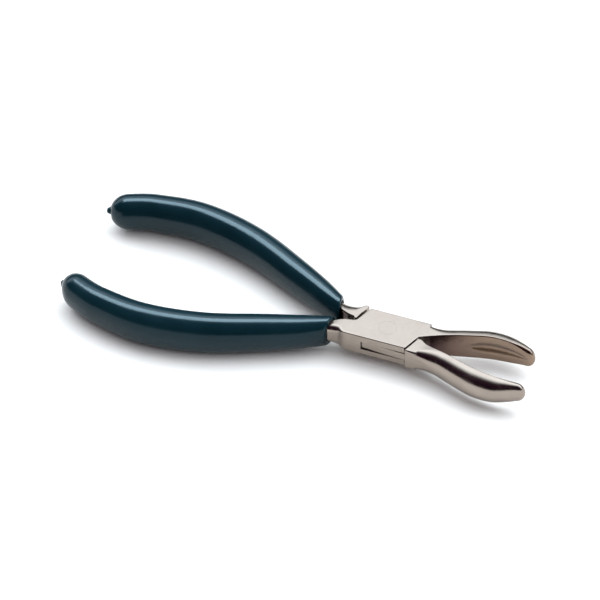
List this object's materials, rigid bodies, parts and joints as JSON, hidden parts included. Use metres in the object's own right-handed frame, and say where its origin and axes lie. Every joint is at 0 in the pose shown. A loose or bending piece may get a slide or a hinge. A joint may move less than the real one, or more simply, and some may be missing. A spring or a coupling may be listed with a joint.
{
  "type": "jewellery pliers",
  "caption": "Box-joint pliers with broad bowed jaws, a long dished groove in each jaw's inner face, and curved dipped handles",
  "frame": {"origin": "on the pivot axis, in the joint's lower flat face", "axes": "+X from the pivot to the jaws, midway between the two halves at rest; +Y to the side of the outer half's jaw; +Z along the pivot axis, up out of the upper flat face"},
  "size_m": [0.1459, 0.055, 0.0142],
  "materials": {
    "steel": "polished, with fine grinding lines on the flat faces",
    "rivet_steel": "ground flush and polished",
    "grip_pvc": "glossy dipped vinyl, dark teal"
  },
  "bodies": {
    "outer_lever": {"outer_half": "steel", "pivot_rivet": "rivet_steel", "outer_grip": "grip_pvc"},
    "inner_lever": {"inner_half": "steel", "inner_grip": "grip_pvc"}
  },
  "joints": [
    {"name": "pivot", "type": "hinge", "parent": "outer_lever", "child": "inner_lever", "pos_m": [0, 0, 0.0038], "axis": [0, 0, -1], "range_deg": [-3, 15]}
  ]
}
